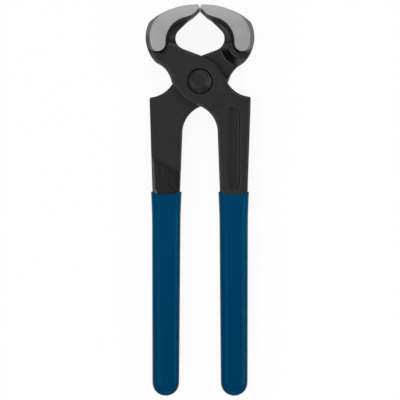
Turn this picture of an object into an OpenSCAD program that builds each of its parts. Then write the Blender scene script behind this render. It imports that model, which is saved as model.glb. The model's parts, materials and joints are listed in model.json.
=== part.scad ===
// End cutting nippers: two forged halves lapped on one rivet, with a dipped sleeve on each handle.
// They lie flat, with the rivet upright, the jaws towards +Y and the handles towards -Y.
// The origin is on the bench, under the middle of the overall length.
// Each half is drawn about the rivet's axis, with the lap plane at zero height.

/* [Overall] */
// Length from the crown of the jaws to the ends of the grips
overall_length = 225; // [200:1:260]
// Width across the two closed jaws
head_width = 62.6; // [60:0.2:66]
// Width of the jaws along the rivet, which is the length of the cutting edges
jaw_width = 23; // [20:0.5:26]

/* [Jaws] */
// Height of the crown above the rivet's axis
crown_reach = 43.6; // [43:0.1:45]
// Radius of the crown
crown_radius = 43; // [39:0.5:48]
// Distance of the crown's centre from the middle
crown_offset = 2.1; // [0.5:0.1:4]
// Height of the cutting edges above the rivet's axis
edge_reach = 41.9; // [41:0.1:42.6]
// Gap left between the cutting edges when the jaws are shut
edge_gap = 0.1; // [0.04:0.01:0.3]
// Width of the outer bevel on each cutting edge
bevel_width = 0.85; // [0.4:0.05:1.5]
// Radius of the jaw's outer flank
flank_radius = 19.4; // [18:0.1:21]
// Height of the flank's centre above the rivet's axis
flank_height = 25.2; // [24:0.1:26.5]
// Radius of each round side of the throat
throat_radius = 6.85; // [6:0.05:7.5]
// Distance of the throat's round sides from the middle
throat_offset = 7.4; // [6.4:0.1:8]
// Height of the throat's round sides above the rivet's axis
throat_height = 25.2; // [24.2:0.1:26]
// Height of the throat's lower corner above the rivet's axis
throat_floor = 15.1; // [14.2:0.05:16]
// Width of the sunk band around the throat
band_width = 6; // [5:0.1:7]
// Depth of the band below the neck, at its outer edge
band_depth = 0.8; // [0.3:0.1:1.5]
// Depth that the band falls from there to the throat
band_fall = 1.6; // [0.5:0.1:2.5]
// Height of the band's lower end above the rivet's axis
band_start = 22.6; // [21:0.1:24]

/* [Ground faces] */
// Width of the sloping rim outside the ground face at the flank
rim_width = 2.6; // [1.8:0.1:3.2]
// Height that the rim falls across that width
rim_drop = 3.8; // [3:0.1:4.6]
// Radius of the ground face's outer edge at the flank
ground_radius = 15.7; // [15:0.1:16.4]
// Height of the centre of that outer edge
ground_height = 25; // [24:0.1:26]
// Direction from that centre in which the rim turns straight and runs out, in degrees
rim_angle = 115; // [112:0.5:118]
// Width of the ground face at the flank
ground_width = 8.9; // [7:0.1:10]
// Radius of the ground face's inner edge
inner_radius = 14.2; // [13.2:0.1:15]
// Height of the centre of that inner edge
inner_height = 22.5; // [21.5:0.1:23.5]
// Height of the centre of the face's rounded lower end
end_height = 21.4; // [20:0.1:23]
// Distance that the foot of the skirt at the flank spreads past that end's radius
skirt_spread = 1.8; // [1.4:0.1:2.2]
// Distance that the skirt lies further out than that end
skirt_out = 1.4; // [1.2:0.1:1.6]
// Distance that the skirt lies further up than that end
skirt_up = 1.2; // [1:0.1:1.4]
// Distance that the wall under the ground face's inner edge and lower end spreads on its way down to the neck
face_draft = 1.1; // [0.6:0.1:1.6]
// Distance inside its round at which that wall's straight run towards the cutting edge starts
run_inset = 0.15; // [0.1:0.01:0.3]
// Share of the way down from the cutting edge to the throat's round side at which that wall ends
inner_tip_share = 0.34; // [0.28:0.01:0.42]

/* [Lap joint] */
// Thickness of each half at the rivet
plate_thickness = 6.4; // [5.6:0.1:7.4]
// Gap between the two lap faces
lap_gap = 0.1; // [0.04:0.02:0.3]
// Radius of the round plate at the rivet
disc_radius = 13; // [12:0.1:14]
// Radius of the foot of the jaw's back wall, around the end of the ground face
wall_radius = 12.3; // [11.8:0.1:12.8]
// Length of the slope of that wall
wall_slope = 4; // [3:0.1:4.2]
// Distance from the rivet's axis to the foot of the handle's ramp
ramp_reach = 22.4; // [21.5:0.1:24]
// Length of the ramp
ramp_length = 31; // [27:0.5:35]
// Direction of the ramp from the rivet's axis, in degrees
ramp_angle = -62.5; // [-66.5:0.5:-58.5]
// Radius of the hollow of the neck
neck_radius = 15.2; // [14:0.1:17]
// Depth that the hollow of the neck cuts into the round of the flank
neck_bite = 0.4; // [0.2:0.1:1]
// Direction of the neck's hollow from the flank's centre, in degrees
neck_angle = 235.4; // [233.4:0.2:237.4]
// Distance of the side notches below the rivet's axis
notch_drop = 0.6; // [0:0.1:1.5]

/* [Handles] */
// Distance from the middle to the horns of the shoulders
shoulder_reach = 29.3; // [28:0.1:30.5]
// Distance of the horns below the rivet's axis
shoulder_drop = 8.8; // [8:0.1:10]
// Radius of the hollow above the shoulders
shoulder_radius = 16.5; // [15.5:0.1:18]
// Distance of that hollow's centre outside the horn
shoulder_lead = 0.8; // [0:0.1:2]
// Radius of the arch between the handles
arch_radius = 16.6; // [15.5:0.1:18]
// Distance from the middle to the foot of the arch
arch_reach = 10.2; // [9.5:0.1:11]
// Distance of the foot of the arch below the rivet's axis
arch_drop = 29.4; // [28.5:0.1:32]
// Distance from the middle to the handle's inner edge at the grip
shaft_inner = 11.45; // [10.5:0.05:12]
// Distance from the middle to the handle's outer edge at the grip
shaft_outer = 27.5; // [26.5:0.1:28.5]
// Height of the back of the handle behind the lap plane
handle_back = 4.2; // [3.9:0.1:5]
// Distance below the rivet's axis at which the handles begin to thin
taper_start = 20; // [15:0.5:30]
// Width of the bare panel sunk in the handle's face
panel_width = 6.7; // [5:0.1:8]
// Depth of the panel
panel_depth = 0.45; // [0.2:0.05:0.8]
// Distance of the panel's upper end below the rivet's axis
panel_top = 15.2; // [14.5:0.1:20]
// Distance of the panel's lower end above the grip
panel_margin = 1.2; // [0.5:0.1:4]

/* [Grips] */
// Distance of the grips' upper ends below the rivet's axis
grip_top = 63.3; // [58:0.1:75]
// Thickness of the dipped coat
coat = 1.2; // [0.8:0.05:1.6]
// Thickness of the coat at its upper end
top_coat = 0.85; // [0.5:0.05:1.2]
// Thickness of the handle where it enters the grip
tang_thickness = 7.2; // [6.6:0.1:7.8]
// Length over which the handle narrows inside the grip
tang_taper = 14; // [10:0.5:20]
// Width of the handle below that
tang_width = 14.2; // [13.4:0.1:15]
// Width of the handle near its end
end_width = 13.2; // [12:0.1:14]
// Thickness of the handle near its end
end_thickness = 6.4; // [5.8:0.1:7]
// Length of the rounded end of the handle
end_length = 6.2; // [5:0.1:8]
// Radius of the long edges inside the grip
tang_corner = 2.4; // [1.5:0.1:2.8]
// Distance that the ends of the handles stand further out
end_lean = 0.3; // [0:0.05:1]

/* [Rivet] */
// Radius of the rivet's shank
shank_radius = 5; // [4:0.1:5.8]
// Radius of the rivet's heads
head_radius = 6.8; // [6.3:0.1:7.4]
// Radius of the flat on each head
head_flat = 4.1; // [3:0.1:5]
// Height of the heads above the faces
head_rise = 1.7; // [1:0.1:2.2]
// Height of the straight side of each head above the faces
head_side = 0.4; // [0.1:0.05:0.8]
// Depth of the seats under the heads
seat_depth = 0.8; // [0.4:0.05:1.4]
// Gap around each head in its seat
seat_gap = 0.55; // [0.3:0.05:0.9]
// Running clearance of the half that turns
run_clearance = 0.05; // [0.02:0.01:0.1]

/* [Hidden] */
$fn = 96;
// Facets round a shape that is stretched between sections
hull_facets = 32;
// Distance that every cut runs past the faces it opens
overrun = 1;
// Thickness of the thin sections that the grips and tangs are stretched between
section = 0.02;

jaw_half = jaw_width / 2;
head_half = head_width / 2;
lap = lap_gap / 2;
handle_reach = overall_length - crown_reach;
pivot_place = [0, overall_length / 2 - crown_reach, jaw_half];

crown_centre = [-crown_offset, crown_reach - crown_radius];
flank_centre = [flank_radius - head_half, flank_height];
throat_centre = [-throat_offset, throat_height];
edge_point = [0, edge_reach];
floor_point = [0, throat_floor];
ground_centre = [ground_radius + rim_width - head_half, ground_height];
inner_centre = [inner_radius + rim_width + ground_width - head_half, inner_height];
end_radius = ground_width / 2;
end_centre = [end_radius + rim_width - head_half, end_height];
skirt_centre = end_centre + [-skirt_out, skirt_up];
throat_touch = touch(edge_point, throat_centre, throat_radius, 1);
inner_tip = edge_point + inner_tip_share * (throat_touch - edge_point);
inner_touch = touch(inner_tip, inner_centre, inner_radius - run_inset, 1);
rim_end = ground_centre + ground_radius * [cos(rim_angle), sin(rim_angle)];
rim_run = rim_end + head_half * [sin(rim_angle), -cos(rim_angle)];

neck_direction = [cos(neck_angle), sin(neck_angle)];
neck_centre = flank_centre + (flank_radius + neck_radius - neck_bite) * neck_direction;
neck_notch = [neck_centre.x + chord(neck_radius, notch_drop + neck_centre.y), -notch_drop];
neck_root = flank_centre + flank_radius * neck_direction;

shoulder_centre = [
    shoulder_reach + shoulder_lead,
    chord(shoulder_radius, shoulder_lead) - shoulder_drop
];
shoulder_notch = [
    shoulder_centre.x - chord(shoulder_radius, notch_drop + shoulder_centre.y),
    -notch_drop
];
arch_centre = [arch_reach - arch_radius, -arch_drop];
arch_apex = [0, arch_centre.y + chord(arch_radius, arch_centre.x)];

shaft_middle = (shaft_inner + shaft_outer) / 2;
shaft_width = shaft_outer - shaft_inner;
tang_half = tang_thickness / 2;
end_middle = shaft_middle + end_lean;
neck_down = grip_top + tang_taper;
end_down = handle_reach - coat - end_length;

// Half the width of a circle at a distance from its centre
function chord(radius, distance) = sqrt(radius * radius - distance * distance);

// Point where a line from p touches the circle, on the side given by turn
function touch(p, centre, radius, turn) =
    let (d = p - centre, angle = atan2(d.y, d.x) + turn * acos(radius / norm(d)))
    centre + radius * [cos(angle), sin(angle)];

// Distance that the wall under a ground face has spread at a height, counted from the face down
function face_draft_at(z) = face_draft * (jaw_half - z) / (jaw_half - plate_thickness);

// Straight sides from a corner point to the round plate
module spur(p) {
    polygon([
        p,
        touch(p, [0, 0], disc_radius, 1),
        [0, 0],
        touch(p, [0, 0], disc_radius, -1)
    ]);
}

// Half of the opening between the jaws, which one half of the tool bounds
module throat_half() {
    translate(throat_centre) circle(throat_radius);
    polygon([
        edge_point,
        throat_touch,
        throat_centre,
        touch(floor_point, throat_centre, throat_radius, -1),
        floor_point
    ]);
}

// Outline of one jaw, with its cutting edge on the middle line
module jaw_outline() {
    difference() {
        intersection() {
            translate(crown_centre) circle(crown_radius);
            translate([-head_width, 0]) square([head_width - edge_gap / 2, overall_length]);
            union() {
                translate(flank_centre) circle(flank_radius);
                translate([flank_centre.x, throat_height]) square([-flank_centre.x, crown_reach]);
            }
        }
        throat_half();
        translate(neck_centre) circle(neck_radius);
        polygon([edge_point, [-bevel_width, crown_reach], [0, crown_reach + overrun]]);
    }
}

// Lower end of a ground face, with a skirt that spreads towards the flank
module ground_end() {
    low = plate_thickness - overrun;
    high = jaw_half + overrun;
    translate([end_centre.x, end_centre.y, low]) cylinder(
        h = high - low,
        r1 = end_radius + face_draft_at(low),
        r2 = end_radius + face_draft_at(high)
    );
    translate([skirt_centre.x, skirt_centre.y, low]) cylinder(
        h = jaw_half - low,
        r1 = end_radius + skirt_spread,
        r2 = end_radius - skirt_spread
    );
}

// Space around the lower end of a ground face, level with the neck
module end_space() {
    difference() {
        translate([-head_width, 0, plate_thickness]) cube([head_width, end_height, jaw_half]);
        ground_end();
    }
}

// Space inside a ground face, with a sloping round wall that runs straight on to the cutting edge
module inner_space() {
    high = jaw_half + overrun;
    run = inner_touch - inner_centre;
    side = inner_radius - run_inset;
    translate([inner_centre.x, inner_centre.y, 0]) {
        cylinder(h = high, r1 = inner_radius - face_draft_at(0), r2 = inner_radius - face_draft_at(high));
        rotate([0, 0, atan2(run.y, run.x)]) rotate([90, 0, 0])
            linear_extrude(norm(inner_tip - inner_touch) + overrun) polygon([
                [0, 0],
                [side - face_draft_at(0), 0],
                [side - face_draft_at(high), high],
                [0, high]
            ]);
    }
}

// Floor of that space, level with the neck below and sunk in a band around the throat above
module inner_floor() {
    band_level = plate_thickness - band_depth;
    difference() {
        translate([-head_width, 0, -overrun]) {
            cube([head_width, band_start, plate_thickness + overrun]);
            cube([head_width, crown_reach, band_level + overrun]);
        }
        intersection() {
            translate([throat_centre.x, throat_centre.y, band_level - band_fall])
                cylinder(h = band_fall, r1 = throat_radius, r2 = throat_radius + band_width);
            translate([-head_width, band_start, 0]) cube([head_width, crown_reach, jaw_half]);
        }
    }
}

// What is cut from one face of a jaw, around the ground face and the throat
module jaw_face_cut() {
    end_space();
    difference() {
        inner_space();
        inner_floor();
    }
}

// Space behind the lap face under a handle, which ends in a ramp down to the handle's back
module handle_lap_space() {
    fall = (jaw_width + lap) / (handle_back + lap);
    rotate([0, 0, ramp_angle]) rotate([90, 0, 0]) linear_extrude(overall_length, center = true) polygon([
        [-head_width, lap],
        [ramp_reach, lap],
        [ramp_reach + ramp_length * fall, -jaw_width],
        [-head_width, -jaw_width]
    ]);
}

// Space behind the lap face under a jaw, up to a sloping wall around the end of the ground face
module jaw_lap_space() {
    depth = jaw_half + overrun;
    fall = (depth + lap) / (plate_thickness + lap);
    difference() {
        translate([-head_width, 0, -jaw_width]) cube([head_width, band_start, jaw_width + lap]);
        translate([end_centre.x, end_centre.y, -depth])
            cylinder(h = depth + lap, r1 = wall_radius - wall_slope * fall, r2 = wall_radius);
    }
}

// Bulk of a jaw, which slopes at the flank to leave a rim outside each ground face
module jaw_bulk() {
    translate([ground_centre.x, ground_centre.y, 0]) rotate_extrude() polygon([
        [0, -jaw_half],
        [ground_radius, -jaw_half],
        [ground_radius + rim_width * jaw_half / rim_drop, 0],
        [ground_radius, jaw_half],
        [0, jaw_half]
    ]);
    linear_extrude(jaw_width, center = true) polygon([
        ground_centre,
        rim_end,
        rim_run,
        [rim_run.x, ground_height]
    ]);
}

module jaw() {
    difference() {
        intersection() {
            linear_extrude(jaw_width, center = true) jaw_outline();
            jaw_bulk();
        }
        jaw_face_cut();
        mirror([0, 0, 1]) jaw_face_cut();
        jaw_lap_space();
    }
}

module plate_outline() {
    difference() {
        union() {
            circle(disc_radius);
            spur(floor_point);
            spur(neck_notch);
            spur(shoulder_notch);
            spur(arch_apex);
            polygon([neck_notch, neck_root, [flank_centre.x, throat_floor], floor_point, [0, 0]]);
        }
        translate(neck_centre) circle(neck_radius);
    }
}

module plate() {
    translate([0, 0, lap]) linear_extrude(plate_thickness - lap) plate_outline();
}

module handle_outline() {
    difference() {
        polygon([
            [0, 0],
            arch_apex,
            [arch_reach, -arch_drop],
            [shaft_inner, -grip_top],
            [shaft_outer, -grip_top],
            [shoulder_reach, -shoulder_drop],
            shoulder_notch
        ]);
        translate(arch_centre) circle(arch_radius);
        translate(shoulder_centre) circle(shoulder_radius);
    }
}

// Side view of a handle, thinning towards the grip, with its front set back by inset
module side_view(inset) {
    rotate([90, 0, 90]) linear_extrude(head_width) polygon([
        [crown_reach, plate_thickness - inset],
        [-taper_start, plate_thickness - inset],
        [-grip_top, tang_half - inset],
        [-grip_top, -tang_half],
        [-taper_start, -handle_back],
        [crown_reach, -handle_back]
    ]);
}

module panel_outline() {
    radius = panel_width / 2;
    upper = panel_top + radius;
    lower = grip_top - panel_margin - radius;
    translate([shaft_middle, -upper]) circle(radius);
    translate([shaft_middle, -lower]) circle(radius);
    translate([shaft_middle - radius, -lower]) square([panel_width, lower - upper]);
}

module handle() {
    difference() {
        intersection() {
            translate([0, 0, -jaw_half]) linear_extrude(jaw_width) handle_outline();
            side_view(0);
        }
        handle_lap_space();
        difference() {
            linear_extrude(jaw_half) panel_outline();
            side_view(panel_depth);
        }
    }
}

// Cross-section of a handle inside its grip, with rounded corners
module handle_section(middle, down, width, thickness, grow) {
    side = width / 2 - tang_corner;
    face = thickness / 2 - tang_corner;
    for (x = [middle - side, middle + side])
        for (z = [-face, face])
            translate([x, -down, z]) rotate([90, 0, 0])
                cylinder(h = section, r = tang_corner + grow, $fn = hull_facets);
}

// Handle inside its grip, or the grip's outside when the coat is added to it
module tang(top_grow, grow) {
    hull() {
        handle_section(shaft_middle, grip_top, shaft_width, tang_thickness, top_grow);
        handle_section(shaft_middle, neck_down, tang_width, tang_thickness, grow);
    }
    hull() {
        handle_section(shaft_middle, neck_down, tang_width, tang_thickness, grow);
        handle_section(end_middle, end_down, end_width, end_thickness, grow);
        translate([end_middle, -end_down, 0])
            scale([end_width / 2 + grow, end_length + grow, end_thickness / 2 + grow])
                sphere(1, $fn = hull_facets);
    }
}

// One forged half, with the jaw on the left and the handle on the right
module lever(bore_radius) {
    difference() {
        union() {
            jaw();
            plate();
            handle();
            tang(0, 0);
        }
        translate([0, 0, -overrun]) cylinder(h = plate_thickness + overrun, r = bore_radius);
        translate([0, 0, plate_thickness - seat_depth])
            cylinder(h = seat_depth + overrun, r = head_radius + seat_gap);
    }
}

module grip() {
    difference() {
        tang(top_coat, coat);
        tang(0, 0);
    }
}

module front_lever() {
    color([0.18, 0.18, 0.19]) translate(pivot_place) lever(shank_radius + run_clearance);
}

module rear_lever() {
    color([0.16, 0.16, 0.17]) translate(pivot_place) rotate([0, 180, 0]) lever(shank_radius);
}

module pivot_rivet() {
    seat = plate_thickness - seat_depth;
    side = plate_thickness + head_side;
    top = plate_thickness + head_rise;
    color([0.2, 0.2, 0.21]) translate(pivot_place) rotate_extrude() polygon([
        [0, -top],
        [head_flat, -top],
        [head_radius, -side],
        [head_radius, -seat],
        [shank_radius, -seat],
        [shank_radius, seat + run_clearance],
        [head_radius, seat + run_clearance],
        [head_radius, side],
        [head_flat, top],
        [0, top]
    ]);
}

module right_grip() {
    color([0.01, 0.25, 0.38]) translate(pivot_place) grip();
}

module left_grip() {
    color([0.01, 0.24, 0.37]) translate(pivot_place) rotate([0, 180, 0]) grip();
}

front_lever();
rear_lever();
pivot_rivet();
right_grip();
left_grip();
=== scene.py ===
import json
import math

import bmesh
import bpy
import numpy as np
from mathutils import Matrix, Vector
from mathutils.bvhtree import BVHTree


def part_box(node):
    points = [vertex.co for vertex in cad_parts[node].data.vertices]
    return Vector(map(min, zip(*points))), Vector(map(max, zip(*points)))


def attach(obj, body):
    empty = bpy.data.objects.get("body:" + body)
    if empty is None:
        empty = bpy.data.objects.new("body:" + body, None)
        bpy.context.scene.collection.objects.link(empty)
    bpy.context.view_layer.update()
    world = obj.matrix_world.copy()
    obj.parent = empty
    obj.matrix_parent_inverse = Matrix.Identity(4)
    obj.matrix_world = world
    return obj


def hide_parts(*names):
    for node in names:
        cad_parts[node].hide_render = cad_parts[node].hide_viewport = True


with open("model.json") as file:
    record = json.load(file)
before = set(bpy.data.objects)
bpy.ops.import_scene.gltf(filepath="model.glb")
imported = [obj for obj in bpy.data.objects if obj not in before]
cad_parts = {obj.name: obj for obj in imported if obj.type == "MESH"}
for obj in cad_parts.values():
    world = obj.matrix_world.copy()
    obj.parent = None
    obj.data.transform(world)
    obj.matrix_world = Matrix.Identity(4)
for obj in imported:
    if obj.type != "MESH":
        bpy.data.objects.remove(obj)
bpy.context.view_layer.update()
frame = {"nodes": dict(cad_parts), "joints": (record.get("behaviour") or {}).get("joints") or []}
pivot = Vector(frame["joints"][0]["pos_m"])
scene = bpy.context.scene
scene.view_settings.view_transform = "Standard"

# Sizes and places are in metres

# Camera: straight above the tool, at the distance that the photograph's perspective shows
# The lens and the sensor are in millimetres
CAMERA_HEIGHT = 0.9815
CAMERA_Y = 0.0007
CAMERA_LENS = 151
SENSOR = 36

# Forgings: the grid of their surfaces, and the height that is ground off the jaw faces
VOXEL = 0.00025
GRIND_STOCK = 0.0008
TOUCH = 0.00001
WELD = 0.000001
KEPT_SHARE = 0.4
SHARP_ANGLE = math.radians(40)

# How far the forgings' edges are rounded, from 0 to 1, how often, and the rounding at which an edge is
# painted pale, partly as wear and partly as a painted highlight
SOFTEN_PASSES = 60
SOFTEN_SHARE = 0.5
BAND_ROUNDS = 2
JAW_SOFTNESS = 0.3
LAP_SOFTNESS = 0.1
NECK_SOFTNESS = 0.9
WALL_SOFTNESS = 0.1
BACK_SOFTNESS = 0.8
FRONT_SOFTNESS = 0.3
EDGE_WEAR_AND_SHEEN_DEPTH = 0.00015

# Where each rounding holds on a forged half, measured from the rivet's axis
SHAFT_TOP = 0.009
SHAFT_ROUND = 0.014
SHAFT_EDGE = 0.0045
SHAFT_SIDE = 0.006
CUTTING_EDGE_DEPTH = 0.0017
TIP_SHARP = 0.0015
TIP_SOFT = 0.004
LAP_END = 0.0146
LAP_FADE = 0.0018
NECK_TOP = 0.014
NECK_FADE = 0.003
THROAT_SIDE = 0.0165
THROAT_TOP = 0.0225
BAND_LOW = 0.0185
BAND_HIGH = 0.0275
BAND_INSIDE = 0.0128
BAND_OUTSIDE = 0.0195
BAND_FADE = 0.001

# The ramp from the plate to the back of the shaft
RAMP_START = 0.0243
RAMP_MIDDLE = 0.038
RAMP_END = 0.0511
RAMP_SMOOTH = 0.3
RAMP_CREASE = 0.0006
RAMP_ANGLE = math.radians(62.5)
RAMP_WAY = (math.cos(RAMP_ANGLE), math.sin(RAMP_ANGLE))

# Where the jaws are ground bare outside and left rough inside. A pair is where a fade starts and ends
THROAT_HEIGHT = 0.0252
FLANK_OFFSET = 0.0119
FLANK_INSIDE = 0.0166
CROWN_HEIGHT = 0.037
FRONT_BARE_HEIGHT = 0.026
REAR_BARE_HEIGHT = 0.017
BARE_FADE = 0.003
BARE_OUTWARD = (0.1, 0.3)
WALL_LEVEL = (0.35, 0.55)
WALL_INWARD = (0.3, 0.6)

# The sunk panel of the handle
PANEL_HALF_WIDTH = 0.00335
PANEL_TOP = 0.01855
PANEL_LOW = 0.05875
PANEL_SINK = 0.0005
PANEL_WALL = 0.0006

# The sloped outer edge of the handle
EDGE_TOP = 0.0098
EDGE_LOW = 0.0615
EDGE_FADE = 0.003
EDGE_ROWS = 60
EDGE_WIDTH = 0.0014
EDGE_SLOPE = math.tan(math.radians(25))
EDGE_FOOT = 0.001
EDGE_CROWN = 0.003

# Rivet, with shares of its head's radius
RIVET_STEPS = 96
ROUND_STEPS = 5
HEAD_FLAT_SHARE = 0.6
SHANK_SHARE = 0.735
DISH_DEPTH = 0.00015
DISH_WIDTH = 0.001
HEAD_SIDE = 0.0004
HEAD_RISE = 0.0017
HEAD_ROUND = 0.0005
SEAT_DEPTH = 0.0008
# How pale the crest of each rivet head is painted: partly wear, partly a painted highlight
RIVET_WEAR_AND_SHEEN = 0.6

# Grips: places across their half width, and the tilt of the surface there in degrees
GRIP_PLACES = (0, 0.5, 0.55, 0.62, 0.77, 1)
GRIP_TILTS = (0, 3.5, 12, 28.2, 28.7, 84.5)
PROFILE_STEPS = 400
GRIP_RING = 144
GRIP_STATIONS = 72
GRIP_EVENING = 3
GRIP_TIP = 0.00005
END_LENGTH = 0.009
LIP_STEPS = 8
LIP_SAG = 0.0017
LIP_REACH = 0.006
SAG_POWER = 4

# Materials: a noise is its cells per metre and its detail, and a span is the part of its values used
NOISE_SPAN = (0.3, 0.7)
WIDE_SPAN = (0.25, 0.75)
HIGH_SPAN = (0.35, 0.75)
CLOUD_SPAN = (0.35, 0.7)

# Black forged steel
BLACK_DARK = 0.003
BLACK_LIGHT = 0.006
BLACK_TINT = 0.06
BLACK_SHEEN = (0.95, 0.95, 1, 1)
BLACK_ROUGHNESS = (0.4, 0.48)
FORGED_GLOSS = 0.6
RIVET_GLOSS = 0.53
# Paler grey on convex edges: partly edge wear, partly a painted highlight
WORN_AND_SHEEN_GREY = 0.02
WORN_AND_SHEEN_TINT = 0.02
WORN_AND_SHEEN_SHARE = (0.25, 1)
BARE_DARK = 0.14
BARE_LIGHT = 0.18
BARE_TINT = 0.01
BARE_ROUGHNESS = 0.45
SMOOTH_ROUGHNESS = 0.25
MATT_ROUGHNESS = 0.75
PATCH_NOISE = (420, 5)
SCRATCH_NOISE = (900, 6)
MARK_NOISE = (170, 2)
MARK_STRENGTH = 0.25
MARK_DEPTH = 0.0004
GRAIN_NOISE = (2600, 4)
GRAIN_STRENGTH = 0.22
BARE_GRAIN_STRENGTH = 0.04
GRAIN_DEPTH = 0.0001

# Ground steel, with a painted sheen that makes it paler towards the tips of the jaws
GROUND_DARK = 0.47
GROUND_LIGHT = 0.56
GROUND_TINT = 0.01
GROUND_ROUGHNESS = (0.42, 0.54)
GROUND_CLOUD = 0.61
GROUND_CLOUD_SHARE = (0, 0.5)
GROUND_CLOUD_NOISE = (130, 4)
GROUND_TIP_SHEEN = 0.68
GROUND_TIP_SHEEN_SHARE = (0, 0.7)
GROUND_SHEEN_START = 0.012
GROUND_SHEEN_END = 0.002
LINE_TURN = (0, 0, 0.3)
LINE_SCALES = (120, 5200, 120)
LINE_NOISE = (1, 4)
LINE_STRENGTH = 0.12
LINE_DEPTH = 0.00005

# Dipped plastic, darker towards the low end
DIP_LOW = (0.0, 0.057, 0.145, 1)
DIP_HIGH = (0.0, 0.068, 0.172, 1)
DIP_CLOUD = (0.0, 0.073, 0.168, 1)
DIP_CLOUD_SHARE = (0, 0.35)
DIP_CLOUD_NOISE = (60, 3)
DIP_GLOSS = 0.07
DIP_SHEEN = (0.15, 0.85, 1, 1)
DIP_ROUGHNESS = (0.14, 0.2)
SKIN_NOISE = (700, 3)
SKIN_STRENGTH = 0.06
SKIN_DEPTH = 0.0002
PORE_NOISE = (3200, 2)
PORE_STRENGTH = 0.05
PORE_DEPTH = 0.00005

# Floor and sky: the floor as the lamps light it, and as the camera and reflections see it
FLOOR_REACH = 6
FLOOR_GREY = 0.8
FLOOR_SHADOW_GREY = 0.13
FLOOR_GLOW = 0.91
SKY_SPAN = (-0.8, 0.6)
SKY_STRENGTH = (0.02, 0.19)

# Each lamp's place, size and power
LAMPS = {
    "key_softbox": ((-0.467, -0.228, 1.2), (0.74, 0.54), 4.4),
    "upper_softbox": ((0.175, 0.72, 1.06), (0.3, 0.3), 1.45),
    "right_strip": ((0.8, 0, 0.63), (1.0, 0.1), 2.45),
    "top_softbox": ((0, 0.8, 0.62), (1.0, 0.35), 1.1),
    "left_softbox": ((-0.8, 0, 0.62), (1.0, 0.3), 0.85),
    "low_strip": ((0, -0.92, 0.42), (0.5, 0.14), 1.5),
}


def ramp(value, low, high):
    """0 before low, 1 past high, and smooth between them."""
    t = np.clip((value - low) / (high - low), 0, 1)
    return t * t * (3 - 2 * t)


# Mesh helpers
def link(name, data):
    obj = bpy.data.objects.new(name, data)
    scene.collection.objects.link(obj)
    return obj


def points(mesh):
    co = np.empty(len(mesh.vertices) * 3, np.float32)
    mesh.vertices.foreach_get("co", co)
    return co.reshape(-1, 3).astype(float)


def set_points(mesh, co):
    mesh.vertices.foreach_set("co", co.astype(np.float32).ravel())
    mesh.update()


def normals(mesh):
    found = np.empty(len(mesh.vertices) * 3, np.float32)
    mesh.vertex_normals.foreach_get("vector", found)
    return found.reshape(-1, 3).astype(float)


def set_attribute(mesh, name, values):
    attribute = mesh.attributes.get(name) or mesh.attributes.new(name, "FLOAT", "POINT")
    attribute.data.foreach_set("value", values.astype(np.float32))


def apply_modifiers(obj):
    graph = bpy.context.evaluated_depsgraph_get()
    made = bpy.data.meshes.new_from_object(obj.evaluated_get(graph))
    made.name = obj.name
    obj.modifiers.clear()
    obj.data = made


def cad_copy(node, name, *materials):
    """A new object with a welded copy of a CAD node's mesh."""
    mesh = frame["nodes"][node].data.copy()
    mesh.materials.clear()
    for material in materials:
        mesh.materials.append(material)
    bm = bmesh.new()
    bm.from_mesh(mesh)
    bmesh.ops.remove_doubles(bm, verts=bm.verts, dist=WELD)
    bm.to_mesh(mesh)
    bm.free()
    return link(name, mesh)


def loft(name, rings):
    """A closed skin over rings of points, of which the first and the last are single points."""
    bm = bmesh.new()
    skin = [[bm.verts.new(p) for p in ring] for ring in rings]
    size = max(len(ring) for ring in rings)
    for lower, upper in zip(skin, skin[1:]):
        for step in range(size):
            after = (step + 1) % size
            if len(lower) == 1:
                bm.faces.new((lower[0], upper[after], upper[step]))
            elif len(upper) == 1:
                bm.faces.new((lower[step], lower[after], upper[0]))
            else:
                bm.faces.new((lower[step], lower[after], upper[after], upper[step]))
    bmesh.ops.recalc_face_normals(bm, faces=bm.faces)
    mesh = bpy.data.meshes.new(name)
    bm.to_mesh(mesh)
    bm.free()
    return link(name, mesh)


def remesh(obj, size):
    modifier = obj.modifiers.new("grid", "REMESH")
    modifier.mode = "VOXEL"
    modifier.voxel_size = size
    apply_modifiers(obj)


def soften(co, edges, weight):
    """Draws each point towards its neighbours, which rounds edges and leaves flat faces as they are."""
    first, second = edges.T
    size = len(co)
    count = np.bincount(first, minlength=size) + np.bincount(second, minlength=size)
    share = (SOFTEN_SHARE * weight)[:, None]
    for _ in range(SOFTEN_PASSES):
        total = [
            np.bincount(first, co[second, axis], size) + np.bincount(second, co[first, axis], size)
            for axis in range(3)
        ]
        co = co + share * (np.stack(total, 1) / count[:, None] - co)
    return co


def shade(mesh):
    mesh.shade_smooth()
    mesh.set_sharp_from_angle(angle=SHARP_ANGLE)


def join_frame(obj, node, body):
    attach(obj, body)
    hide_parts(node)


# Material helpers
def new_material(name):
    material = bpy.data.materials.new(name)
    material.use_nodes = True
    return material, material.node_tree, material.node_tree.nodes["Principled BSDF"]


def put(tree, kind, inputs, **settings):
    """Adds a node. An input given as a socket is linked, and any other value is set."""
    made = tree.nodes.new("ShaderNode" + kind)
    for name, value in settings.items():
        setattr(made, name, value)
    for key, value in inputs.items():
        if isinstance(value, bpy.types.NodeSocket):
            tree.links.new(value, made.inputs[key])
        else:
            made.inputs[key].default_value = value
    return made


def grey(level, tint=0.0):
    return (level, level, level * (1 + tint), 1)


def noise(tree, place, scale, detail):
    return put(tree, "TexNoise", {"Vector": place, "Scale": scale, "Detail": detail}).outputs["Fac"]


def spread(tree, value, span, result=(0, 1)):
    """Maps the span of a value on to the result's two ends."""
    inputs = {"Value": value}
    inputs["From Min"], inputs["From Max"] = span
    inputs["To Min"], inputs["To Max"] = result
    return put(tree, "MapRange", inputs).outputs["Result"]


def calculate(tree, operation, first, second):
    return put(tree, "Math", {0: first, 1: second}, operation=operation).outputs[0]


def mix_colour(tree, factor, first, second):
    return put(tree, "Mix", {0: factor, 6: first, 7: second}, data_type="RGBA").outputs[2]


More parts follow.
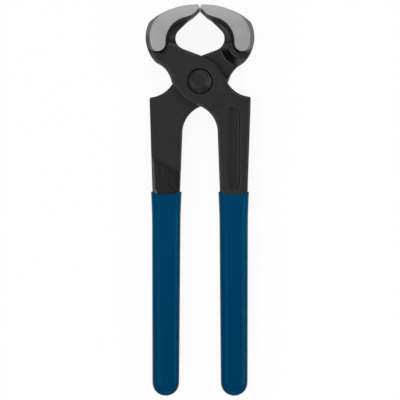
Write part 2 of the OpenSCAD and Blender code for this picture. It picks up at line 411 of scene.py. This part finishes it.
def mix_value(tree, factor, first, second):
    return put(tree, "Mix", {0: factor, 2: first, 3: second}).outputs[0]


def bump(tree, height, strength, distance, normal=None):
    inputs = {"Height": height, "Strength": strength, "Distance": distance}
    if normal:
        inputs["Normal"] = normal
    return put(tree, "Bump", inputs).outputs["Normal"]


def read_attribute(tree, name):
    return put(tree, "Attribute", {}, attribute_name=name).outputs["Fac"]


def forged_material(name, gloss):
    """Blackened forged steel: fine scale, soft hammer marks, edges painted paler partly as wear and partly
    as a painted highlight, and bare steel where ground.
    """
    material, tree, shader = new_material(name)
    shader.inputs["Specular IOR Level"].default_value = gloss
    shader.inputs["Specular Tint"].default_value = BLACK_SHEEN
    place = put(tree, "TexCoord", {}).outputs["Object"]
    bare = read_attribute(tree, "bare")
    grain = noise(tree, place, *GRAIN_NOISE)
    marks = noise(tree, place, *MARK_NOISE)
    patch = noise(tree, place, *PATCH_NOISE)
    scratches = noise(tree, place, *SCRATCH_NOISE)

    patched = spread(tree, patch, NOISE_SPAN)
    tone = mix_colour(tree, patched, grey(BLACK_DARK, BLACK_TINT), grey(BLACK_LIGHT, BLACK_TINT))
    # Convex edges are painted paler, partly as wear and partly as a painted highlight
    edge = read_attribute(tree, "edge")
    worn_and_sheen = calculate(tree, "MULTIPLY", edge, spread(tree, patch, HIGH_SPAN, WORN_AND_SHEEN_SHARE))
    tone = mix_colour(tree, worn_and_sheen, tone, grey(WORN_AND_SHEEN_GREY, WORN_AND_SHEEN_TINT))
    scratched = spread(tree, scratches, NOISE_SPAN)
    steel = mix_colour(tree, scratched, grey(BARE_DARK, BARE_TINT), grey(BARE_LIGHT))
    tree.links.new(mix_colour(tree, bare, tone, steel), shader.inputs["Base Color"])
    tree.links.new(bare, shader.inputs["Metallic"])
    rough = spread(tree, patch, NOISE_SPAN, BLACK_ROUGHNESS)
    rough = mix_value(tree, read_attribute(tree, "smooth"), rough, SMOOTH_ROUGHNESS)
    rough = mix_value(tree, read_attribute(tree, "matt"), rough, MATT_ROUGHNESS)
    rough = mix_value(tree, bare, rough, BARE_ROUGHNESS)
    tree.links.new(rough, shader.inputs["Roughness"])
    normal = bump(tree, marks, MARK_STRENGTH, MARK_DEPTH)
    strength = mix_value(tree, bare, GRAIN_STRENGTH, BARE_GRAIN_STRENGTH)
    tree.links.new(bump(tree, grain, strength, GRAIN_DEPTH, normal), shader.inputs["Normal"])
    return material


def ground_material():
    """Steel ground flat: fine parallel lines with a soft, even sheen, and a painted sheen that makes it
    paler towards the jaws' tips.
    """
    material, tree, shader = new_material("ground_steel")
    place = put(tree, "TexCoord", {}).outputs["Object"]
    along = put(tree, "SeparateXYZ", {"Vector": place}).outputs["Y"]
    turned_place = put(tree, "Mapping", {"Vector": place, "Rotation": LINE_TURN, "Scale": LINE_SCALES})
    lines = noise(tree, turned_place.outputs["Vector"], *LINE_NOISE)
    cloud = noise(tree, place, *GROUND_CLOUD_NOISE)
    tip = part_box("front_lever")[1].y
    sheen_span = (tip - GROUND_SHEEN_START, tip - GROUND_SHEEN_END)

    lined = spread(tree, lines, NOISE_SPAN)
    tone = mix_colour(tree, lined, grey(GROUND_DARK, GROUND_TINT), grey(GROUND_LIGHT))
    tone = mix_colour(tree, spread(tree, cloud, CLOUD_SPAN, GROUND_CLOUD_SHARE), tone, grey(GROUND_CLOUD))
    # Painted sheen: paler towards the tips of the jaws
    tone = mix_colour(tree, spread(tree, along, sheen_span, GROUND_TIP_SHEEN_SHARE), tone, grey(GROUND_TIP_SHEEN))
    tree.links.new(tone, shader.inputs["Base Color"])
    shader.inputs["Metallic"].default_value = 1
    tree.links.new(spread(tree, lines, WIDE_SPAN, GROUND_ROUGHNESS), shader.inputs["Roughness"])
    tree.links.new(bump(tree, lines, LINE_STRENGTH, LINE_DEPTH), shader.inputs["Normal"])
    return material


def grip_material():
    """Dipped soft plastic: deep blue, a faint skin texture and a soft gloss."""
    material, tree, shader = new_material("grip_blue")
    shader.inputs["Specular IOR Level"].default_value = DIP_GLOSS
    shader.inputs["Specular Tint"].default_value = DIP_SHEEN
    place = put(tree, "TexCoord", {}).outputs["Object"]
    along = put(tree, "SeparateXYZ", {"Vector": place}).outputs["Y"]
    cloud = noise(tree, place, *DIP_CLOUD_NOISE)
    skin = noise(tree, place, *SKIN_NOISE)
    pores = noise(tree, place, *PORE_NOISE)
    low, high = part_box("right_grip")

    tone = mix_colour(tree, spread(tree, along, (low.y, high.y)), DIP_LOW, DIP_HIGH)
    tone = mix_colour(tree, spread(tree, cloud, HIGH_SPAN, DIP_CLOUD_SHARE), tone, DIP_CLOUD)
    tree.links.new(tone, shader.inputs["Base Color"])
    tree.links.new(spread(tree, skin, NOISE_SPAN, DIP_ROUGHNESS), shader.inputs["Roughness"])
    normal = bump(tree, skin, SKIN_STRENGTH, SKIN_DEPTH)
    tree.links.new(bump(tree, pores, PORE_STRENGTH, PORE_DEPTH, normal), shader.inputs["Normal"])
    return material


# Forged halves
def add_stock(mesh, height, facing):
    """Raises the flat jaw face at a height by the stock that is ground off it later."""
    bm = bmesh.new()
    bm.from_mesh(mesh)
    flat = [f for f in bm.faces if all(abs(v.co.z - height) < TOUCH for v in f.verts)]
    raised = bmesh.ops.extrude_face_region(bm, geom=flat)
    lifted = [v for v in raised["geom"] if isinstance(v, bmesh.types.BMVert)]
    bmesh.ops.translate(bm, verts=lifted, vec=(0, 0, facing * GRIND_STOCK))
    bmesh.ops.delete(bm, geom=[f for f in flat if f.is_valid], context="FACES_ONLY")
    bmesh.ops.recalc_face_normals(bm, faces=bm.faces)
    bm.to_mesh(mesh)
    bm.free()


def grind(mesh, height, facing):
    """Cuts the mesh at a height, keeps what is under the ground face and closes it."""
    bm = bmesh.new()
    bm.from_mesh(mesh)
    everything = bm.verts[:] + bm.edges[:] + bm.faces[:]
    cut = bmesh.ops.bisect_plane(
        bm, geom=everything, plane_co=(0, 0, height), plane_no=(0, 0, facing), clear_outer=True
    )
    rim = [e for e in cut["geom_cut"] if isinstance(e, bmesh.types.BMEdge)]
    filled = bmesh.ops.triangle_fill(bm, edges=rim, use_beauty=True, normal=(0, 0, facing))
    for face in filled["geom"]:
        if isinstance(face, bmesh.types.BMFace):
            face.material_index = 1
    bm.to_mesh(mesh)
    bm.free()


def softness(co, side, shaft_middle, edge_y):
    """How far each point is rounded: little at the cutting edge and the lap, more on the neck and shaft."""
    up = co[:, 1] - pivot.y
    across = np.abs(co[:, 0] - pivot.x)
    on_plate_side = side * (co[:, 2] - pivot.z) < 0
    neck = 1 - ramp(up, NECK_TOP, NECK_TOP + NECK_FADE)
    throat = 1 - ramp(up, THROAT_TOP, THROAT_TOP + NECK_FADE)
    throat *= 1 - ramp(across, THROAT_SIDE, THROAT_SIDE + NECK_FADE)
    neck = np.maximum(neck, throat)
    beside = np.where(on_plate_side | (up < 0), NECK_SOFTNESS, WALL_SOFTNESS)
    soft = JAW_SOFTNESS + (beside - JAW_SOFTNESS) * neck
    soft = LAP_SOFTNESS + (soft - LAP_SOFTNESS) * ramp(np.hypot(across, up), LAP_END, LAP_END + LAP_FADE)
    on_side = ramp(np.abs(co[:, 0] - shaft_middle), SHAFT_EDGE, SHAFT_SIDE)
    handle = on_side * np.where(on_plate_side, FRONT_SOFTNESS, BACK_SOFTNESS)
    soft += (handle - soft) * ramp(-up, SHAFT_TOP, SHAFT_ROUND)
    return soft * ramp(np.hypot(across, co[:, 1] - edge_y), TIP_SHARP, TIP_SOFT)


def band_end(co, side):
    """Where the band inside the jaw runs out softly into the plate: the plate's side only."""
    up = co[:, 1] - pivot.y
    across = np.abs(co[:, 0] - pivot.x)
    on_plate_side = side * (co[:, 2] - pivot.z) < 0
    share = ramp(up, BAND_LOW, BAND_LOW + NECK_FADE)
    share *= 1 - ramp(up, BAND_HIGH - NECK_FADE, BAND_HIGH)
    share *= ramp(across, BAND_INSIDE, BAND_INSIDE + BAND_FADE)
    share *= 1 - ramp(across, BAND_OUTSIDE - BAND_FADE, BAND_OUTSIDE)
    return share * on_plate_side


def smooth_back(co, side):
    """Where the back of the shaft is smoother: past the ramp's end, and a little at its start."""
    down = pivot.y - co[:, 1]
    out = -side * (co[:, 0] - pivot.x)
    on_back = side * (co[:, 2] - pivot.z) > 0
    along = out * RAMP_WAY[0] + down * RAMP_WAY[1]
    start = ramp(along, RAMP_START - RAMP_CREASE, RAMP_START + RAMP_CREASE)
    start *= 1 - ramp(along, RAMP_MIDDLE, RAMP_END)
    return on_back * (RAMP_SMOOTH * start + ramp(along, RAMP_END - RAMP_CREASE, RAMP_END + RAMP_CREASE))


def sink_panel(co, side, shaft_middle):
    """Deepens the sunk panel in the plate side of the handle, more towards the handle's outside."""
    across = -side * (co[:, 0] - shaft_middle)
    down = pivot.y - co[:, 1]
    past_end = np.maximum(np.maximum(PANEL_TOP - down, down - PANEL_LOW), 0)
    outside = np.hypot(across, past_end) - PANEL_HALF_WIDTH
    on_plate_side = side * (co[:, 2] - pivot.z) < 0
    sunk = co.copy()
    slope = np.sqrt(np.clip((across + PANEL_HALF_WIDTH) / (2 * PANEL_HALF_WIDTH), 0, 1))
    sunk[:, 2] += side * PANEL_SINK * slope * on_plate_side * (1 - ramp(outside, -PANEL_WALL, 0))
    return sunk


def slope_edge(co, side):
    """Slopes the outer edge of the handle's plate side, from the shoulder to the grip."""
    down = pivot.y - co[:, 1]
    out = -side * (co[:, 0] - pivot.x)
    height = -side * (co[:, 2] - pivot.z)
    rows = np.linspace(EDGE_TOP, EDGE_LOW, EDGE_ROWS)
    nearest = np.clip(np.searchsorted(rows, down), 0, EDGE_ROWS - 1)
    on_handle = (down > EDGE_TOP) & (down < EDGE_LOW) & (height > EDGE_CROWN)
    widest = np.zeros(EDGE_ROWS)
    np.maximum.at(widest, nearest[on_handle], out[on_handle])
    widest[0] = widest[1]
    inside = np.interp(down, rows, widest) - out
    drop = EDGE_SLOPE * np.clip(EDGE_WIDTH - inside, 0, EDGE_WIDTH)
    drop *= ramp(down, EDGE_TOP, EDGE_TOP + EDGE_FADE)
    drop *= 1 - ramp(down, EDGE_LOW - EDGE_FADE, EDGE_LOW)
    sloped = co.copy()
    sloped[:, 2] += side * drop * ramp(height, EDGE_FOOT, EDGE_CROWN)
    return sloped


def outwardness(co, facing):
    """How far each point faces away from the middle of the throat."""
    out = co[:, :2] - np.array([pivot.x, pivot.y + THROAT_HEIGHT])
    out /= np.linalg.norm(out, axis=1)[:, None]
    return (facing[:, :2] * out).sum(1)


def matt_wall(co, facing):
    """Where the steep wall inside the jaw is left rough from the forging."""
    steep = 1 - ramp(np.abs(facing[:, 2]), *WALL_LEVEL)
    inside = ramp(-outwardness(co, facing), *WALL_INWARD)
    return steep * inside * ramp(co[:, 1] - pivot.y, BAND_LOW, BAND_LOW + NECK_FADE)


def bare_steel(co, facing, side, bare_height):
    """Where the outside of the jaw is ground bare, from a height above the rivet's axis."""
    up = co[:, 1] - pivot.y
    outward = ramp(outwardness(co, facing), *BARE_OUTWARD)
    from_flank = np.hypot(co[:, 0] - pivot.x - side * FLANK_OFFSET, up - THROAT_HEIGHT)
    outside = (from_flank > FLANK_INSIDE) | (up > CROWN_HEIGHT)
    return outside * outward * ramp(up, bare_height - BARE_FADE, bare_height + BARE_FADE)


def forging(node, body, side, grip_node, bare_height):
    """A forged half made from the CAD half, with softened edges and jaw faces ground flat.

    The side is -1 for the front half and 1 for the rear one.
    """
    obj = cad_copy(node, node + "_forging", forged_black, ground_steel)
    low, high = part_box(node)
    grip_low, grip_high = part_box(grip_node)
    shaft_middle = (grip_low.x + grip_high.x) / 2
    edge_y = high.y - CUTTING_EDGE_DEPTH
    add_stock(obj.data, high.z, 1)
    add_stock(obj.data, low.z, -1)
    remesh(obj, VOXEL)

    mesh = obj.data
    rough = points(mesh)
    edges = np.empty(len(mesh.edges) * 2, np.int32)
    mesh.edges.foreach_get("vertices", edges)
    edges = edges.reshape(-1, 2)
    co = soften(rough, edges, softness(rough, side, shaft_middle, edge_y))
    for _ in range(BAND_ROUNDS):
        co = soften(co, edges, band_end(rough, side))
    set_points(mesh, co)
    # How far each edge was rounded off, which paints it paler: partly wear, partly a painted highlight
    worn_and_sheen = ((rough - co) * normals(mesh)).sum(1) / EDGE_WEAR_AND_SHEEN_DEPTH
    set_attribute(mesh, "edge", np.clip(worn_and_sheen, 0, 1))
    set_points(mesh, slope_edge(sink_panel(co, side, shaft_middle), side))
    grind(mesh, high.z, 1)
    grind(mesh, low.z, -1)

    fewer = obj.modifiers.new("fewer", "DECIMATE")
    fewer.ratio = KEPT_SHARE
    apply_modifiers(obj)
    mesh = obj.data
    co = points(mesh)
    facing = normals(mesh)
    set_attribute(mesh, "bare", bare_steel(co, facing, side, bare_height))
    set_attribute(mesh, "matt", matt_wall(co, facing))
    set_attribute(mesh, "smooth", smooth_back(co, side))
    shade(mesh)
    join_frame(obj, node, body)


# Rivet
def rounded(profile, radius):
    """The profile with each inner corner replaced by a small arc."""
    made = [profile[0]]
    for before, corner, after in zip(profile, profile[1:], profile[2:]):
        to_before = (before - corner).normalized()
        to_after = (after - corner).normalized()
        half = to_before.angle(to_after) / 2
        room = min((before - corner).length, (after - corner).length) / 2
        reach = min(radius / math.tan(half), room)
        start = corner + to_before * reach
        end = corner + to_after * reach
        for step in range(ROUND_STEPS + 1):
            t = step / ROUND_STEPS
            made.append(start.lerp(corner, t).lerp(corner.lerp(end, t), t))
    return made + [profile[-1]]


def turned(profile):
    """Rings of a profile turned about the rivet's axis, with a single point where it meets the axis."""
    rings = []
    for radius, height in profile:
        steps = 1 if radius < TOUCH else RIVET_STEPS
        turns = [2 * math.pi * step / steps for step in range(steps)]
        rings.append([pivot + Vector((radius * math.cos(t), radius * math.sin(t), height)) for t in turns])
    return rings


def rivet():
    """The rivet, turned from a profile with a dished head at each end."""
    low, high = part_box("pivot_rivet")
    head = (high.x - low.x) / 2
    top = high.z - pivot.z
    face = top - HEAD_RISE
    seat = face - SEAT_DEPTH
    side = face + HEAD_SIDE
    shank = head * SHANK_SHARE
    flat = head * HEAD_FLAT_SHARE
    dish = top - DISH_DEPTH
    corners = [(0, -dish), (flat - DISH_WIDTH, -dish), (flat, -top)]
    corners += [(head, -side), (head, -seat), (shank, -seat)]
    corners += [(radius, -height) for radius, height in reversed(corners)]
    obj = loft("pivot_rivet_turned", turned(rounded([Vector(c) for c in corners], HEAD_ROUND)))
    mesh = obj.data
    co = points(mesh)
    radius = np.hypot(co[:, 0] - pivot.x, co[:, 1] - pivot.y)
    # A paler ring along the crest of each head: partly wear, partly a painted highlight
    set_attribute(mesh, "edge", ramp(np.abs(radius - flat), HEAD_ROUND, 0) * RIVET_WEAR_AND_SHEEN)
    set_attribute(mesh, "bare", np.zeros(len(radius)))
    mesh.materials.append(rivet_black)
    shade(mesh)
    join_frame(obj, "pivot_rivet", "rear_half")


# Grips
def grip_profile():
    """A quarter of a grip's section, with both half sizes 1: a flat, a facet and a round side."""
    across = np.linspace(0, 1, PROFILE_STEPS + 1)
    middles = (across[1:] + across[:-1]) / 2
    fall = np.tan(np.radians(np.interp(middles, GRIP_PLACES, GRIP_TILTS)))
    height = 1 - np.concatenate([[0], np.cumsum(fall)]) / fall.sum()
    run = np.concatenate([[0], np.cumsum(np.hypot(np.diff(across), np.diff(height)))])
    places = np.linspace(run[-1], 0, GRIP_RING // 4 + 1)
    return [(np.interp(place, run, across), np.interp(place, run, height)) for place in places]


def grip_ring(round_share):
    """Points round a section. The share turns it from the grip's own form into an ellipse."""
    quarter = []
    for step, (x, z) in enumerate(grip_profile()):
        turn = 2 * math.pi * step / GRIP_RING
        rounder_x = x + (math.cos(turn) - x) * round_share
        rounder_z = z + (math.sin(turn) - z) * round_share
        quarter.append((rounder_x, rounder_z))
    upper = quarter + [(-x, z) for x, z in quarter[-2::-1]]
    return upper + [(x, -z) for x, z in upper[-2:0:-1]]


def wall_sizes(tree, middle, reach, inside):
    """Half width and half thickness of a sleeve's wall, seen from its middle line or from outside."""
    def wall(direction):
        if inside:
            return tree.ray_cast(middle, direction)[0]
        return tree.ray_cast(middle + direction * reach, -direction)[0]

    left = wall(Vector((-1, 0, 0)))
    right = wall(Vector((1, 0, 0)))
    top = wall(Vector((0, 0, 1)))
    return [(left.x + right.x) / 2, (right.x - left.x) / 2, top.z - middle.z]


def sleeve_sections(tree, high_y, low_y, middle, reach, inside):
    """Places, middles and half sizes of a sleeve's sections, from its open end to its tip."""
    shares = np.sin(np.linspace(0, math.pi / 2, GRIP_STATIONS))
    places = high_y + (low_y - high_y) * shares
    sizes = np.array([
        wall_sizes(tree, Vector((middle.x, y, middle.z)), reach, inside) for y in places
    ])
    for _ in range(GRIP_EVENING):
        sizes[1:-1] = (sizes[:-2] + 2 * sizes[1:-1] + sizes[2:]) / 4
    return places, sizes


def section_ring(y, size, height, round_share, open_y):
    """A ring round a sleeve. Near the open end its faces hang back from its sides, as a dip leaves them."""
    centre, half_width, half_thickness = size
    sag = LIP_SAG * ramp(y, open_y - LIP_REACH, open_y)
    return [
        (centre + half_width * x, y - sag * z ** SAG_POWER, height + half_thickness * z)
        for x, z in grip_ring(round_share)
    ]


def sleeve(node, body):
    """A dipped sleeve with a rounded lip, lofted outside and inside through the CAD sleeve's sections."""
    low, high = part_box(node)
    middle = (low + high) / 2
    reach = (high - low).length
    mesh = frame["nodes"][node].data
    tree = BVHTree.FromPolygons([v.co for v in mesh.vertices], [p.vertices for p in mesh.polygons])
    floor_y = tree.ray_cast(middle, Vector((0, -1, 0)))[0].y
    top_y = high.y - TOUCH
    places, outer = sleeve_sections(tree, top_y, low.y + GRIP_TIP, middle, reach, False)
    inner_places, inner = sleeve_sections(tree, top_y, floor_y + GRIP_TIP, middle, reach, True)
    lip = (outer[0, 1] - inner[0, 1]) / 2

    rings = [[(inner[-1, 0], floor_y, middle.z)]]
    for y, size in zip(inner_places[:0:-1], inner[:0:-1]):
        round_share = 1 - ramp(y, floor_y, floor_y + END_LENGTH)
        rings.append(section_ring(y, size, middle.z, round_share, high.y))
    for step in range(LIP_STEPS + 1):
        turn = math.pi * step / LIP_STEPS
        size = inner[0] + (outer[0] - inner[0]) * (1 - math.cos(turn)) / 2
        rings.append(section_ring(high.y - lip * (1 - math.sin(turn)), size, middle.z, 0, high.y))
    for y, size in zip(places[1:], outer[1:]):
        round_share = 1 - ramp(y, low.y, low.y + END_LENGTH)
        rings.append(section_ring(y, size, middle.z, round_share, high.y))
    rings.append([(outer[-1, 0], low.y, middle.z)])

    obj = loft(node + "_sleeve", rings)
    obj.data.materials.append(grip_blue)
    shade(obj.data)
    join_frame(obj, node, body)


# Stage and light
def stage():
    """A white floor. The camera and reflections see it brighter than it is lit, with its shadow kept."""
    mesh = bpy.data.meshes.new("floor")
    reach = FLOOR_REACH
    corners = [(-reach, -reach, 0), (reach, -reach, 0), (reach, reach, 0), (-reach, reach, 0)]
    mesh.from_pydata(corners, [], [(0, 1, 2, 3)])
    floor = link("floor", mesh)
    material = bpy.data.materials.new("floor_white")
    material.use_nodes = True
    tree = material.node_tree
    tree.nodes.clear()
    path = put(tree, "LightPath", {}).outputs
    seen = calculate(tree, "MAXIMUM", path["Is Camera Ray"], path["Is Glossy Ray"])
    seen = calculate(tree, "MAXIMUM", seen, path["Is Transmission Ray"])
    plain = put(tree, "BsdfDiffuse", {"Color": grey(FLOOR_GREY)})
    shadowed = put(tree, "BsdfDiffuse", {"Color": grey(FLOOR_SHADOW_GREY)})
    glow = put(tree, "Emission", {"Color": grey(1), "Strength": FLOOR_GLOW})
    white = put(tree, "AddShader", {0: shadowed.outputs[0], 1: glow.outputs[0]})
    both = put(tree, "MixShader", {0: seen, 1: plain.outputs[0], 2: white.outputs[0]})
    put(tree, "OutputMaterial", {"Surface": both.outputs[0]})
    mesh.materials.append(material)


def light_sky():
    """A dim sky, lighter towards the jaws than towards the grips."""
    world = bpy.data.worlds.new("world")
    world.use_nodes = True
    tree = world.node_tree
    sky = tree.nodes["Background"]
    way = put(tree, "TexCoord", {}).outputs["Generated"]
    towards = put(tree, "SeparateXYZ", {"Vector": way}).outputs["Y"]
    sky.inputs["Color"].default_value = grey(1)
    tree.links.new(spread(tree, towards, SKY_SPAN, SKY_STRENGTH), sky.inputs["Strength"])
    scene.world = world


def lamp(name, place, size, power):
    """A rectangular lamp that points at the origin."""
    data = bpy.data.lights.new(name, "AREA")
    data.shape = "RECTANGLE"
    data.size, data.size_y = size
    data.energy = power
    obj = link(name, data)
    obj.location = place
    obj.rotation_euler = (-Vector(place)).to_track_quat("-Z", "Y").to_euler()


def look_down():
    """The camera, straight above the tool."""
    data = bpy.data.cameras.new("camera")
    data.sensor_width = SENSOR
    data.lens = CAMERA_LENS
    camera = link("camera", data)
    camera.location = (0, CAMERA_Y, CAMERA_HEIGHT)
    scene.camera = camera


forged_black = forged_material("forged_black", FORGED_GLOSS)
rivet_black = forged_material("rivet_black", RIVET_GLOSS)
ground_steel = ground_material()
grip_blue = grip_material()

look_down()
forging("front_lever", "front_half", -1, "right_grip", FRONT_BARE_HEIGHT)
forging("rear_lever", "rear_half", 1, "left_grip", REAR_BARE_HEIGHT)
rivet()
sleeve("right_grip", "front_half")
sleeve("left_grip", "rear_half")

stage()
light_sky()
for lamp_name, (place, size, power) in LAMPS.items():
    lamp(lamp_name, place, size, power)
